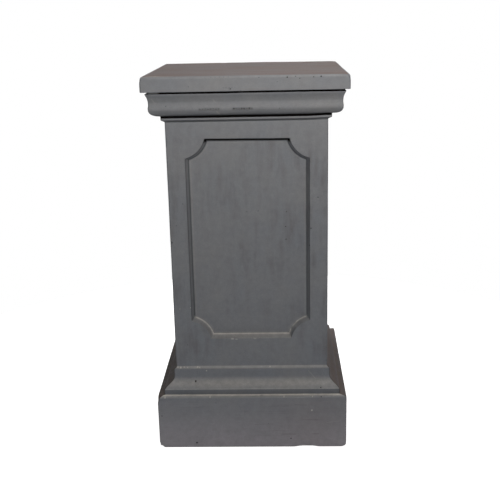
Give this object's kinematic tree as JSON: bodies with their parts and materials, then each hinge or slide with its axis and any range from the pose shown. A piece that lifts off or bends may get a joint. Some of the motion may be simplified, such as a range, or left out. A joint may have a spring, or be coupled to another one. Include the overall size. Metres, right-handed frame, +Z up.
{
  "type": "garden pedestal",
  "caption": "Square garden pedestal, a hollow casting with a moulded cap, a tall die with sunk panels, and a moulded base on a plain plinth, to stand an urn or a figure on.",
  "frame": {"origin": "middle of the underside, on the ground", "axes": "+Z up along the pedestal; the face in the picture looks towards -Y, and +X is to its right"},
  "size_m": [0.391, 0.391, 0.76],
  "materials": {
    "cast_stone": "matte"
  },
  "bodies": {
    "root": {"pedestal": "cast_stone"}
  },
  "joints": []
}
